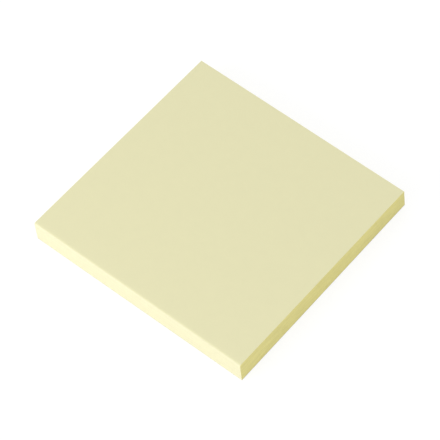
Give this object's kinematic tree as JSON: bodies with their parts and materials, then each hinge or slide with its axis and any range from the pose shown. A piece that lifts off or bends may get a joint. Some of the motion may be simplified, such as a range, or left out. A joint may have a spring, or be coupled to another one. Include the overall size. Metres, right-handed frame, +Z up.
{
  "type": "sticky note pad",
  "caption": "Square pad of pale yellow self-stick notes, glued along one edge, on a thin card backing sheet.",
  "frame": {"origin": "middle of the underside, which lies on the table", "axes": "+Z up through the stack, +Y towards the glued edge, X along the glued edge"},
  "size_m": [0.076, 0.076, 0.0078],
  "materials": {
    "note_paper": "matte",
    "backing_card": "matte"
  },
  "bodies": {
    "root": {"note_stack": "note_paper", "backing_sheet": "backing_card"}
  },
  "joints": []
}
